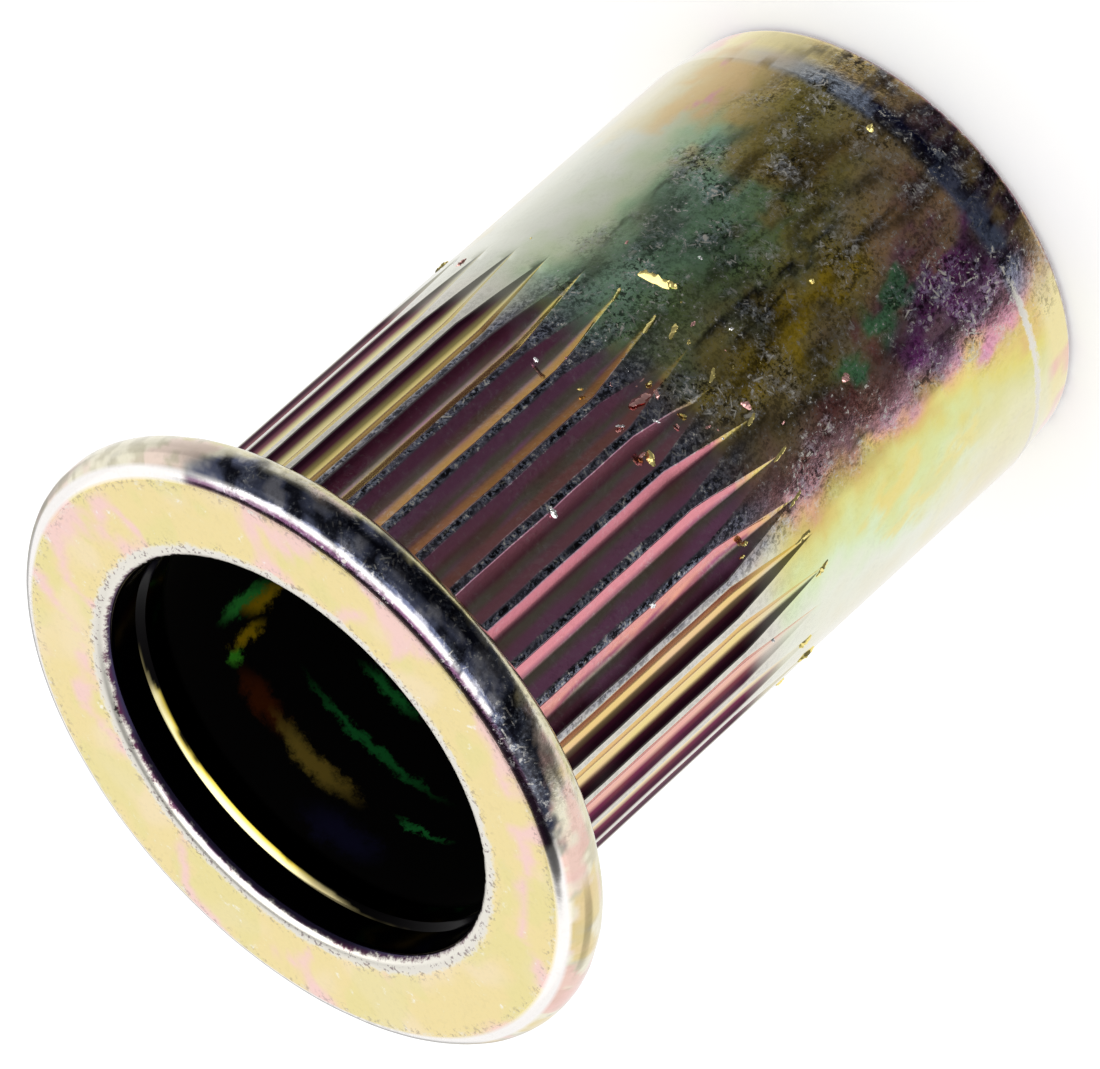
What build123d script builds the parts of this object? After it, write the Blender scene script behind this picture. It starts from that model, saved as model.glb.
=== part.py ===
"""Ribbed rivet nut with a flat head and an open end, in millimetres.

The nut stands on its plain end. +Z runs along its axis towards the head, and
the origin is the centre of the plain end's face.
"""

from build123d import *
from math import radians, tan
import os

os.makedirs("parts", exist_ok=True)

# Head: the flat round flange that stays on the outside of the panel
flange_diameter = 16.0
flange_thickness = 1.45
flange_face_round = 0.65
flange_seat_round = 0.75

# Barrel: the tube that goes through the panel
overall_length = 20.5
barrel_diameter = 11.85

# Ribs: crests rolled up between V grooves under the head
rib_count = 36
rib_rise = 0.03
rib_length = 9.75
groove_depth = 0.22
groove_flank_angle = 62.5
run_out_length = 2.8
rib_fade_length = 0.6

# Plain end: a cone steps the barrel down to a short nose
cone_length = 0.75
cone_reduction = 0.1
nose_length = 0.8
nose_round = 0.25

# Wide bore: the thin wall that folds up behind the panel
wall_thickness = 0.725
wide_bore_depth = 9.6
mouth_step = 0.1
mouth_depth = 1.0
mouth_bevel = 0.3

# Threaded end: the hole tapped M10, drawn at the minor diameter
thread_minor_diameter = 8.5
shoulder_angle = 60.0
thread_lead_in = 0.3

flange_radius = flange_diameter / 2
barrel_radius = barrel_diameter / 2
crest_radius = barrel_radius + rib_rise
nose_radius = barrel_radius - cone_reduction
wide_bore_radius = barrel_radius - wall_thickness
mouth_radius = wide_bore_radius + mouth_step
thread_radius = thread_minor_diameter / 2

seat_height = overall_length - flange_thickness
rib_end_height = seat_height - rib_length
run_out_height = rib_end_height + run_out_length
cone_top_height = nose_length + cone_length
shoulder_top_height = overall_length - wide_bore_depth
shoulder_length = (wide_bore_radius - thread_radius) / tan(radians(shoulder_angle))
shoulder_foot_height = shoulder_top_height - shoulder_length
mouth_floor_height = overall_length - mouth_depth


# One rib groove: straight under the head, then its floor slopes up out of the
# barrel, which leaves a pointed end
groove_floor_radius = crest_radius - groove_depth
groove_reach = 3 * groove_depth
groove_half_mouth = groove_reach * tan(radians(groove_flank_angle))

with BuildPart() as groove:
    with BuildSketch(Plane.XY.offset(run_out_height)) as groove_section:
        with BuildLine():
            Polyline(
                (groove_floor_radius, 0),
                (groove_floor_radius + groove_reach, groove_half_mouth),
                (groove_floor_radius + groove_reach, -groove_half_mouth),
                close=True,
            )
        make_face()
    extrude(amount=seat_height - run_out_height)
    loft([groove_section.sketch.face(), Vertex(crest_radius, 0, rib_end_height)])


def rims(radius: float, height: float) -> ShapeList:
    """Circular edges of the part being built, with this radius and height."""
    return (
        edges()
        .filter_by(GeomType.CIRCLE)
        .filter_by(lambda rim: abs(rim.radius - radius) < 1e-4)
        .filter_by(lambda rim: abs(rim.arc_center.Z - height) < 1e-4)
    )


with BuildPart() as rivet_nut:
    # The turned blank, inside and out
    with BuildSketch(Plane.XZ):
        with BuildLine():
            Polyline(
                (thread_radius + thread_lead_in, 0),
                (nose_radius, 0),
                (nose_radius, nose_length),
                (barrel_radius, cone_top_height),
                (barrel_radius, rib_end_height - rib_fade_length),
                (crest_radius, rib_end_height),
                (crest_radius, seat_height),
                (flange_radius, seat_height),
                (flange_radius, overall_length),
                (mouth_radius, overall_length),
                (mouth_radius, mouth_floor_height),
                (wide_bore_radius, mouth_floor_height),
                (wide_bore_radius, shoulder_top_height),
                (thread_radius, shoulder_foot_height),
                (thread_radius, thread_lead_in),
                close=True,
            )
        make_face()
    revolve(axis=Axis.Z)

    fillet(rims(flange_radius, seat_height), flange_seat_round)
    fillet(rims(flange_radius, overall_length), flange_face_round)
    chamfer(rims(mouth_radius, overall_length), mouth_bevel)
    fillet(rims(nose_radius, 0), nose_round)

    # The ribs
    with PolarLocations(0, rib_count):
        add(groove.part, mode=Mode.SUBTRACT)

rivet_nut.part.label = "rivet_nut"
export_step(rivet_nut.part, "parts/rivet_nut.step")
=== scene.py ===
"""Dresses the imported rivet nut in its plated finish, and stands it in a plain studio.

Everything is in the CAD frame: the nut stands on its plain end at the origin, with +Z along its
axis towards the head. Sizes are in millimetres and are turned to metres as the mesh is made.
A bearing is an angle round the nut in degrees, from the front (-Y) towards the left (-X).
"""

import logging
import math
from dataclasses import dataclass, field
from enum import Enum

import bpy
import numpy as np
from mathutils import Matrix, Vector


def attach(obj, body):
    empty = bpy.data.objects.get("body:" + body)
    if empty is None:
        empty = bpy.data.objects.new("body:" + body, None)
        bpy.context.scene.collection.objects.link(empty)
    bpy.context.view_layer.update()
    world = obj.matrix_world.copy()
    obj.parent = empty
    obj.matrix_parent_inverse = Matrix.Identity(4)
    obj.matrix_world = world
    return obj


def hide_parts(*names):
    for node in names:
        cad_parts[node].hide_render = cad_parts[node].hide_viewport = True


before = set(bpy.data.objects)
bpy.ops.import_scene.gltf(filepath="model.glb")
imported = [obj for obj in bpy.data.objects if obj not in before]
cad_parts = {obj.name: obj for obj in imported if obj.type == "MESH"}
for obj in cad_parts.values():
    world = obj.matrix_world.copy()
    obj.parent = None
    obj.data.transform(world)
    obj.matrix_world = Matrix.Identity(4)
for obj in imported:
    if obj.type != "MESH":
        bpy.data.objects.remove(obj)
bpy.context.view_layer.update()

MM = 0.001
NODE = "rivet_nut"
LAYERS = ("valley", "crest", "wear", "tumbled", "bore")
WELD_STEPS = 1e5  # Steps in a millimetre: points in the same step become one vertex.
SHARP_ANGLE = 24.0  # Faces that meet at more than this, in degrees, are shaded apart.

log = logging.getLogger("rivet_nut")

Stops = tuple[tuple[float, str], ...]
Socket = bpy.types.NodeSocket
Rgba = tuple[float, float, float, float]


# ---------------------------------------------------------------------------------------------
# Film
# ---------------------------------------------------------------------------------------------


def linear(colour: str) -> Rgba:
    """Turns an sRGB colour to a linear one.

    Args:
        colour: The colour as hex, such as "#E8D9A6".

    Returns:
        Linear red, green, blue and alpha.
    """
    values = [int(colour[i : i + 2], 16) / 255 for i in (1, 3, 5)]
    red, green, blue = (v / 12.92 if v <= 0.04045 else ((v + 0.055) / 1.055) ** 2.4 for v in values)
    return (red, green, blue, 1.0)


def ease(values: np.ndarray, low: float, high: float) -> np.ndarray:
    """Rises smoothly from 0 at low to 1 at high, and falls if low is above high."""
    share = np.clip((values - low) / (high - low), 0, 1)
    return share * share * (3 - 2 * share)


def bearing_of(points: np.ndarray) -> np.ndarray:
    """Bearing of each point, from -180 to 180 degrees."""
    return np.degrees(np.arctan2(-points[..., 0], -points[..., 1]))


def turn_from(bearing: np.ndarray, middle: float) -> np.ndarray:
    """Turn from a middle bearing to each bearing, from -180 to 180 degrees."""
    return (bearing - middle + 180) % 360 - 180


def clouds(points: np.ndarray, size: float, seed: int, octaves: int = 3) -> np.ndarray:
    """Smooth random clouds, from about -1 to 1.

    Each octave is a sum of 14 cosine waves whose directions and phases are drawn at random. Their
    wavelengths spread round the octave's size, and the size halves and the weight falls by 0.6
    from one octave to the next.

    Args:
        points: Places in millimetres, of shape (..., 3).
        size: Size of the largest clouds, in millimetres.
        seed: Seed of the draw.
        octaves: Number of octaves.

    Returns:
        The clouds at the points, of shape (...).
    """
    draw = np.random.default_rng(seed)
    total = np.zeros(points.shape[:-1])
    for octave in range(octaves):
        waves = draw.standard_normal((14, 3))
        pace = np.pi / (size * 0.5**octave) * draw.uniform(0.6, 1.4, (14, 1))
        waves *= pace / np.linalg.norm(waves, axis=1, keepdims=True)
        for wave, phase in zip(waves, draw.uniform(0, 2 * np.pi, 14)):
            total += 0.6**octave * np.cos(points @ wave + phase)
    return total / 5.2


def blend(first: str | np.ndarray, second: str | np.ndarray, share: np.ndarray) -> np.ndarray:
    """Mixes two films, each an array of colours or a hex colour, by a share from 0 to 1."""
    first, second = (np.array(linear(f)[:3]) if isinstance(f, str) else f for f in (first, second))
    return first + (second - first) * np.asarray(share)[..., None]


def film_ramp(values: np.ndarray, stops: Stops) -> np.ndarray:
    """Runs values through colour stops, with even changes between them.

    Args:
        values: The values, of any shape.
        stops: The stops, each a value and a hex colour.

    Returns:
        Linear colours, of the values' shape and 3.
    """
    places = [place for place, _ in stops]
    colours = np.array([linear(colour)[:3] for _, colour in stops])
    return np.stack([np.interp(values, places, colours[:, k]) for k in range(3)], axis=-1)


class Places:
    """Places on the nut's outside, with what the film asks of each.

    Two sets of clouds go with them: slow ones of about 1.6 mm that push the film's edges about,
    and fine ones of about 0.5 mm that fray them.
    """

    def __init__(self, points: np.ndarray) -> None:
        """Works out the bearing, height, radius and clouds of each point.

        Args:
            points: The places in millimetres, of shape (rows, columns, 3).
        """
        self.points = points
        self.bearing = bearing_of(points)
        self.height = points[..., 2]
        self.radius = np.hypot(points[..., 0], points[..., 1])
        self.slow = clouds(points, 1.6, 21)
        self.fine = clouds(points, 0.5, 22)


@dataclass(frozen=True)
class FilmPatch:
    """A patch of film that is thicker or thinner than the film round it.

    Args:
        bearing: Bearing of its middle.
        height: Height of its middle above the plain end, in millimetres.
        spread: Half its width in degrees and half its height in millimetres.
        colour: Its colour as hex.
        strength: How far it covers the film round it, from 0 to 1.
    """

    bearing: float
    height: float
    spread: tuple[float, float]
    colour: str
    strength: float = 0.8

    def away(self, bearing: np.ndarray, height: np.ndarray) -> np.ndarray:
        """Distance from the patch's middle, which is 1 at its edge."""
        across = turn_from(bearing, self.bearing) / self.spread[0]
        return np.hypot(across, (height - self.height) / self.spread[1])


@dataclass(frozen=True)
class ChromateFilm:
    """The colours of the yellow chromate film at each place on the nut.

    The film is a few tenths of a micron thick and takes interference colours: straw where it is
    thin, then gold, rose, violet and green as it thickens. It is laid down unevenly, in bands
    round the barrel that wander and blotch; the bands follow the bearing from the front, so their
    hue is partly the film's and partly a painted iridescent sheen. It is plum in the rolled
    grooves, and much of it holds painted light and shade as well.

    Args:
        head_foot: Height at which the head's film takes over.
        face_level: Height of the head's face.
        step_level: Height of the step in the mouth.
        patches: Patches on the barrel.
        lines: Narrow dark lines along the barrel.
        near_ribs: Bands round the barrel beside the ribs, by bearing; film hue and painted sheen.
        near_end: Bands round the barrel beside the plain end, by bearing; likewise.
        slate: Bands of the cone at the plain end in front: film hue and painted dark reflection.
        plum: Bands of the nose below that cone, likewise.
        left_flank_shading: Film on the flanks that face left, by bearing, with painted light and shade.
        right_flank_shading: Film on those that face right, likewise.
    """

    head_foot: float = 19.0
    face_level: float = 20.5
    step_level: float = 19.5
    patches: tuple[FilmPatch, ...] = (
        FilmPatch(14, 3.0, (11.0, 1.6), "#A84CA4", 0.9),
        FilmPatch(-10, 5.4, (2.6, 1.0), "#5C5844", 0.7),
        FilmPatch(-16, 8.2, (4.5, 1.1), "#74805A", 0.6),
        FilmPatch(11.5, 4.6, (4.2, 1.0), "#6CC084", 0.85),
        FilmPatch(18, 6.2, (4.5, 1.3), "#B4706C", 0.9),
        FilmPatch(2.0, 6.8, (2.6, 2.4), "#E4C030", 0.85),
        FilmPatch(-13, 5.0, (3.0, 1.2), "#C8B458", 0.6),
        FilmPatch(8.0, 2.9, (3.0, 1.0), "#D8AC60", 0.6),
        FilmPatch(-3.0, 2.6, (3.4, 0.7), "#C6888C", 0.5),
        FilmPatch(-26, 3.9, (12, 1.2), "#C7A34A", 0.5),
        FilmPatch(-33, 2.6, (6, 1.0), "#B5A445", 0.5),
        FilmPatch(-58, 3.0, (9, 1.6), "#E8C78E", 0.7),
        FilmPatch(-55, 3.4, (4.0, 0.5), "#E5A9B4", 0.7),
        FilmPatch(32, 2.3, (3.2, 0.9), "#EDA3C4", 0.75),
        FilmPatch(47, 6.4, (3.5, 0.9), "#F2D679", 0.6),
        FilmPatch(53, 4.9, (3.0, 1.0), "#F0DC86", 0.6),
        FilmPatch(140, 5.5, (25, 2.5), "#C9A0B4", 0.6),
        FilmPatch(-150, 4.0, (30, 1.8), "#9CC9A6", 0.6),
        FilmPatch(178, 3.0, (20, 1.4), "#E3B96A", 0.7),
        FilmPatch(-100, 6.5, (18, 2.2), "#E6D28A", 0.6),
    )
    lines: tuple[FilmPatch, ...] = (
        FilmPatch(-9.0, 6.9, (1.2, 3.2), "#121826", 0.9),
        FilmPatch(-4.5, 7.6, (0.8, 1.6), "#1A1A18", 0.75),
        FilmPatch(2.8, 5.6, (0.8, 1.8), "#1E1C16", 0.6),
        FilmPatch(-21.0, 5.0, (0.7, 1.4), "#1C2A26", 0.5),
        FilmPatch(-43.0, 6.0, (0.9, 3.6), "#56604C", 0.6),
        FilmPatch(30.5, 6.6, (1.0, 2.4), "#33302C", 0.7),
        FilmPatch(-3.0, 3.4, (0.8, 1.6), "#2A2620", 0.6),
        FilmPatch(160.0, 5.0, (0.9, 3.0), "#4A463C", 0.7),
    )
    near_ribs: Stops = (
        (-180, "#DCD8BE"), (-130, "#DCCF9C"), (-95, "#DEDDCB"), (-62, "#DFE1D3"), (-50, "#CDD8B6"),
        (-43, "#B2CFA8"), (-36, "#AED6B6"), (-28, "#9CC79E"), (-18, "#9CB878"), (-10, "#A4AC78"),
        (-4, "#BCAA60"), (1, "#D6BC50"), (6, "#BEA860"), (12, "#B8A070"), (17, "#BE9C80"),
        (22, "#B47E78"), (27, "#C697A0"), (31, "#E2AE8C"), (35, "#DCC174"), (40, "#DED888"),
        (46, "#DDE4A4"), (53, "#DEECC4"), (64, "#E9EBDA"), (90, "#E6DEC0"), (140, "#D6CC98"),
        (180, "#DCD8BE"),
    )
    near_end: Stops = (
        (-180, "#DCC9A0"), (-120, "#E0C3A4"), (-80, "#E6E0C4"), (-62, "#E3D6A8"), (-52, "#DCC08C"),
        (-44, "#D2BC7A"), (-36, "#CCBC6C"), (-28, "#BDAE6C"), (-18, "#CEB068"), (-8, "#D4B888"),
        (0, "#DEB080"), (6, "#CCA48C"), (12, "#B694A8"), (20, "#BF90BC"), (27, "#C898B4"),
        (31, "#DCA4A0"), (35, "#E2C082"), (41, "#E6DA80"), (48, "#E2DEA0"), (60, "#EAE6BC"),
        (85, "#E6D8B8"), (130, "#D6C494"), (180, "#DCC9A0"),
    )
    slate: Stops = (
        (-60, "#C4CED4"), (-24, "#9CACCC"), (-6, "#7486B4"), (12, "#8494BC"), (30, "#A4AEC0"),
    )
    plum: Stops = (
        (-62, "#EADFA8"), (-30, "#E0C27C"), (-12, "#80606C"), (6, "#6C5068"), (26, "#B08484"),
    )
    left_flank_shading: Stops = (
        (-180, "#D9A79C"), (-44, "#8A4460"), (-20, "#B4789E"), (0, "#CA7C8C"), (8, "#E08C98"),
        (24, "#E4949C"), (31, "#F0A890"), (38, "#F0D080"), (45, "#F2C8A8"), (52, "#F2DC94"),
        (60, "#F0B0A8"), (70, "#F4E0B4"), (180, "#D9A79C"),
    )
    right_flank_shading: Stops = (
        (-180, "#D9A79C"), (-90, "#EFE6B8"), (-58, "#EEDF9C"), (-42, "#E6CC6C"), (-26, "#C09048"),
        (-14, "#B47C50"), (-4, "#B87C80"), (30, "#B4789E"), (44, "#74304E"), (90, "#8A4460"),
        (180, "#D9A79C"),
    )

    def outside(
        self, points: np.ndarray, valley: np.ndarray, side: np.ndarray, leaving: np.ndarray
    ) -> np.ndarray:
        """Film on the head, ribs, barrel and plain end.

        Args:
            points: Places in millimetres, of shape (rows, columns, 3).
            valley: Sink of the grooves as a share of their depth.
            side: Signed place across a groove, from -1 to 1.
            leaving: How far along the run-outs each place is.

        Returns:
            Linear colours, of shape (rows, columns, 3).
        """
        at = Places(points)
        film = self._end(self._barrel(at), at)
        # Painted shade on the ribs' crests: grey-purple in front, where they reflect shade, and cream on
        # the lit sides.
        crests = blend("#F0ECDC", "#8A8090", self.fogged(points))
        film = blend(film, crests, ease(at.height + 0.4 * at.slow, 9.8, 11.6))
        near_side = side * np.where(at.bearing > 0, 1, -1)
        fading = ease(leaving + 0.1 * at.slow, 0.05, 0.60) * ease(near_side, 0.35, -0.15)
        covered = ease(valley, 0.01, 0.06) * (1 - 0.9 * fading)
        film = blend(film, self._grooves(at, side, leaving), covered)
        return np.where((at.height > self.head_foot)[..., None], self._head(at), film)

    def _barrel(self, at: Places) -> np.ndarray:
        """Bands of film round the barrel with patches, painted shade mottling in front and dark lines.

        Args:
            at: The places.

        Returns:
            Linear colours for every place, of use on the barrel.
        """
        wandering = at.bearing + 4.0 * at.slow + 2.2 * at.fine
        level = at.height + 0.9 * at.slow + 0.4 * at.fine
        # Hue bands by bearing from the front: the film's own colour with a painted iridescent sheen.
        bands = (film_ramp(wandering, stops) for stops in (self.near_ribs, self.near_end))
        film = blend(*bands, ease(level, 5.4, 3.4))
        for patch in self.patches:
            away = patch.away(at.bearing + 3.0 * at.slow + 2.4 * at.fine, level)
            film = blend(film, patch.colour, patch.strength * ease(away, 1.25, 0.55))
        # Painted shade and light: dark mottling across the front, where the barrel reflects shade, with
        # lighter film between.
        shade_streaks = clouds(at.points * (1, 1, 0.35), 0.55, 28, 2)
        front = ease(np.abs(at.bearing + 5), 48, 30)
        film = blend(film, "#3A3428", 0.55 * front * ease(shade_streaks, 0.10, 0.65))
        film = film * (1 + 0.35 * front * ease(shade_streaks, -0.05, -0.6))[..., None]
        for line in self.lines:
            away = line.away(at.bearing + 0.5 * at.slow + 0.7 * at.fine, at.height)
            broken = ease(at.fine, -0.6, -0.1)
            film = blend(film, line.colour, line.strength * ease(away, 1.1, 0.5) * broken)
        return film

    def _end(self, film: np.ndarray, at: Places) -> np.ndarray:
        """In front, a slate cone and a plum nose with dark blue blotches, partly film hue and partly
        painted dark reflection; straw ones elsewhere, and a dark red band along the foot.

        Args:
            film: The barrel's film.
            at: The places it lies at.

        Returns:
            The film with the plain end's laid over it.
        """
        bearing, height, slow, fine = at.bearing, at.height, at.slow, at.fine
        # The front, where the cone and nose reflect shade, takes the painted dark reflection.
        thick = ease(bearing + 6 * slow, -66, -36) * ease(bearing + 4 * slow, 35, 26)
        shade_blotches = fine + 0.6 * slow + 0.5 * ease(np.abs(bearing + 8), 16, 4)
        slate = blend(film_ramp(bearing, self.slate), "#141A34", ease(shade_blotches, 0.2, 0.7))
        film = blend(film, slate, 0.92 * thick * ease(height + 0.08 * fine, 1.74, 1.55))
        plum = blend(film_ramp(bearing, self.plum), "#D8B878", 0.8 * ease(fine, 0.0, 0.5))
        plum = blend(plum, "#33242E", 0.8 * ease(fine, -0.15, -0.6))
        straw = blend("#F0E2A8", "#EFC4B4", ease(slow, 0.0, 0.5))
        film = blend(film, blend(straw, plum, thick), ease(height + 0.06 * fine, 1.02, 0.86))
        # Painted shade: a near-black blue patch on the front of the cone.
        dark_reflection_patch = ease(np.abs(bearing + 12 + 3 * slow), 13, 7)
        dark_reflection_patch = dark_reflection_patch * ease(np.abs(height - 1.2 + 0.05 * fine), 0.36, 0.2)
        film = blend(film, "#070E42", 0.95 * dark_reflection_patch)
        # A dark red band along the very foot.
        return blend(film, "#6E2A38", ease(height, 0.20, 0.13))

    def _grooves(self, at: Places, side: np.ndarray, leaving: np.ndarray) -> np.ndarray:
        """Plum grooves, with gold flanks to the right and pink to yellow ones to the left: painted
        highlights on the lit flanks, painted shade on the far flanks and on lit sides' floors.

        Args:
            at: The places.
            side: Signed place across a groove, from -1 to 1.
            leaving: How far along the run-outs each place is.

        Returns:
            Linear colours for every place, of use where there is a groove.
        """
        edge = at.bearing + 2.5 * at.slow
        # The lit sides of the barrel, which decide where flanks take painted highlights and shade.
        lit = np.maximum(ease(edge, 27, 37), ease(-edge, 37, 50))
        middle = ease(np.abs(side) + 0.12 * at.fine, 0.50, 0.15)
        cloudy = 0.5 * ease(at.slow, 0.1, 0.6)
        thin = blend(blend("#C482AC", "#96967A", 0.85 * middle), "#A06C60", cloudy)
        thick = blend(blend("#7A3050", "#77505A", middle), "#8A4A44", cloudy)
        # Painted shade: on the lit sides the floors take a darker plum.
        film = blend(thin, thick, lit)
        start = 0.36 - 0.80 * lit
        # A painted partial highlight: a pink-purple line at the flank's edge where the side is not lit.
        rim = (1 - lit) * ease(side - start, -0.22, -0.04) * ease(at.bearing, -20, 0)
        film = blend(film, "#A04A6C", rim)
        # Painted highlights and shade on the left-facing flanks, by bearing.
        film = blend(film, film_ramp(edge, self.left_flank_shading), ease(side - start, 0.0, 0.12))
        # Painted highlights and shade on the right-facing flanks, left of the front only.
        seen = ease(-side - start, 0.0, 0.18) * ease(at.bearing, 20, 0)
        film = blend(film, film_ramp(edge, self.right_flank_shading), seen)
        # Painted shade on the far flank of each groove on the lit sides.
        shaded_flank = np.where(at.bearing > 0, ease(side, -0.5, -0.7), ease(side, 0.5, 0.7))
        film = blend(film, "#4C2238", lit * shaded_flank)
        # Gold at the run-outs' points: torn metal with a painted highlight, less on the lit sides.
        torn_tip_and_glint = ease(leaving + 0.12 * at.fine, 0.45, 0.80) * (1 - 0.7 * lit)
        return blend(film, "#F6E27C", 0.95 * torn_tip_and_glint)

    def _face(self, at: Places) -> np.ndarray:
        """Straw film on the head's face, with pink veins that thin out towards its edge.

        Args:
            at: The places.

        Returns:
            Linear colours for every place, of use on the face.
        """
        vein = np.abs(clouds(at.points, 4.0, 23)) - 0.10 * ease(at.radius, 6.2, 7.4)
        face = blend("#F1DEA2", "#F5E2BC", 0.7 * ease(clouds(at.points, 2.4, 25), 0.1, 0.7))
        face = blend(face, "#E6DE98", 0.5 * ease(clouds(at.points, 1.4, 26), 0.1, 0.5))
        return blend(face, "#F8D0D0", 0.85 * ease(vein + 0.10 * at.fine, 0.20, -0.04))

    def _head(self, at: Places) -> np.ndarray:
        """Straw film on the face, slate on the rim in front and cream elsewhere. The slate, a near-black
        patch and a plum line are painted dark reflection; white along the face's edge and a pale
        band at the rim's back edge are painted highlights.

        Args:
            at: The places.

        Returns:
            Linear colours for every place, of use on the head.
        """
        bearing, height, slow, fine = at.bearing, at.height, at.slow, at.fine
        cream = blend("#F0EAD2", "#EFDACB", ease(slow, -0.1, 0.4))
        cream = blend(cream, "#C9C2A8", 0.7 * ease(fine, 0.1, 0.6))
        tinted = 0.7 * ease(bearing, 8, 20) * ease(height, 19.5, 19.7)
        tints = clouds(at.points, 1.1, 29)
        cream = blend(cream, "#E6CE86", tinted * ease(tints, 0.15, 0.5))
        cream = blend(cream, "#EFBFB8", tinted * ease(tints, -0.15, -0.5))

        # Painted dark reflection: mottled slate for the rim's front.
        slate = blend("#686E88", "#262834", ease(fine + 0.4 * slow, -0.1, 0.55))
        slate = blend(slate, "#B9B8C0", 0.7 * ease(fine, -0.35, -0.8))
        # Painted shade: darker towards the rim's back edge in front, and past bearing 10.
        low = ease(height + 0.12 * slow, 19.78, 19.62) * ease(slow, -0.5, 0.1)
        slate = blend(slate, "#1C1D28", 0.85 * low)
        slate = blend(slate, "#1A1B28", 0.85 * ease(bearing + 6 * fine, 10, 20))
        # The part of the rim in front that takes the painted slate.
        reach = np.interp(height, (19.42, 19.62, 19.93, 20.45), (2, 12, 24, 36))
        leftwards = ease(bearing + 4 * slow + 3 * fine - reach, 2.5, -2.5)
        reach = 31 + 30 * ease(height, 19.45, 20.2)
        front = np.where(bearing > 0, leftwards, ease(12 * slow - bearing - reach, 2, -14))

        # Painted highlights: a white line and spots along the face's edge, and white round the rim's top
        # away from the front.
        wavering = bearing + 6 * fine
        highlight_streak = ease(wavering, -62, -46) * ease(wavering, 11, 5) * (0.7 + 0.3 * ease(fine, 0.3, -0.2))
        glint_dots = ease(clouds(at.points, 0.28, 27, 2), 0.15, 0.5)
        glint_dots = glint_dots * ease(bearing, 6, 10) * ease(bearing, 24, 13)
        painted_highlights = np.maximum(np.maximum(highlight_streak, glint_dots), 1 - front) * ease(height, 20.31, 20.35)
        film = blend(blend(cream, slate, front), "#FBF7F4", painted_highlights)
        # Painted shade: a near-black patch on the rim's front.
        black = np.hypot((bearing + 10 + 5 * slow) / 17, (height - 19.80 - 0.05 * fine) / 0.24)
        film = blend(film, "#0C0E1C", 0.95 * ease(black, 1.2, 0.7))
        # Painted dark reflection: a thin plum line just below the face's edge in front.
        film = blend(film, "#6E4A66", front * ease(height + 0.01 * slow, 20.405, 20.43))
        film = blend(film, self._face(at), ease(height, self.face_level - 0.022, self.face_level - 0.01))
        # A painted pale reflection along the rim's back edge and under it.
        seat = ease(height + 0.07 * fine, 19.54, 19.44) * (0.5 + 0.5 * ease(slow, -0.3, 0.3))
        return blend(film, "#D9CF98", seat)

    def inside(self, points: np.ndarray) -> np.ndarray:
        """Painted shade in the bore: a near-black film, with a gold crescent on the step in its mouth
        as a painted highlight, a plum band round the lip and a painted glint on it.

        Args:
            points: Places in millimetres, of shape (rows, columns, 3).

        Returns:
            Linear colours, of shape (rows, columns, 3).
        """
        height, bearing = points[..., 2], bearing_of(points)
        fine = clouds(points, 0.9, 24)
        # Painted shade: near black deep in the bore, dark violet towards the mouth, olive in the thread,
        # black just under the step.
        film = blend("#1C1A1A", "#3A3450", ease(height, 19.55, 19.9))
        film = blend(film, "#565C40", ease(height, 11.0, 10.6))
        film = blend(film, "#0A090A", ease(height, 19.28, 19.33) * ease(height, 19.53, 19.51))
        # Painted highlight: a gold crescent with a pale core on the step at the back, fading to both
        # ends.
        taper = ease(np.abs(turn_from(bearing, 180)) + 9 * fine, 64, 4)
        low, high = self.step_level - 0.18 * taper, self.step_level + 0.01
        edge = (height - low) / (high - low)
        middle = ease(np.abs(turn_from(bearing, 182) + 5 * fine), 36, 16)
        under = ease(height, high, high - 0.02)
        gold = ease(taper, 0.02, 0.3) * ease(edge, 0.0, 0.2) * under
        film = blend(film, blend("#6C6444", "#D8C046", middle), gold)
        pale = ease(taper, 0.2, 0.6) * ease(edge, 0.25, 0.6) * under
        film = blend(film, blend("#A89C74", "#FFF6C0", middle), pale)
        # Painted dark reflection round the lip, and a painted glint on it.
        film = blend(film, "#5C2644", ease(height, 20.36, 20.42))
        glint = ease(np.abs(turn_from(bearing, 158)) + 9 * fine, 36, 20) * ease(fine, 0.5, 0.1)
        glint = glint * ease(height, 20.40, 20.43) * ease(height, 20.49, 20.475)
        return blend(film, "#F7EFF0", glint)

    def fogged(self, points: np.ndarray) -> np.ndarray:
        """How far the ribs' crests are greyed, from 0 to 1: fully in front, as painted shade, and less
        elsewhere.
        """
        bearing = bearing_of(points)
        return 0.15 + 0.85 * ease(bearing, -52, -40) * ease(bearing, 38, 30)

    def tumbled(self, points: np.ndarray, inside: np.ndarray) -> np.ndarray:
        """How much tumbling has scuffed each place, in clusters on two sides.

        Args:
            points: Places in millimetres, of shape (rows, columns, 3).
            inside: Where the surface is the bore's, which tumbling doesn't reach.

        Returns:
            A share from 0 to 1 for each place.
        """
        height, bearing = points[..., 2], bearing_of(points)
        slow = clouds(points, 1.5, 31)
        front = ease(bearing + 5 * slow, -54, -34) * ease(bearing + 4 * slow, 40, 30)
        back = ease(np.abs(np.abs(bearing) - 150) + 8 * slow, 40, 20)
        most = np.maximum(front, 0.7 * back) * (0.5 + 0.5 * ease(slow, -0.5, 0.5))
        most = np.where(height > self.head_foot, 0.55 * most, most)
        most = np.where(height > self.face_level - 0.03, 0.0, most)
        return np.where(inside, 0.0, 0.04 + 0.96 * most)


# ---------------------------------------------------------------------------------------------
# Shapes
# ---------------------------------------------------------------------------------------------


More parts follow.
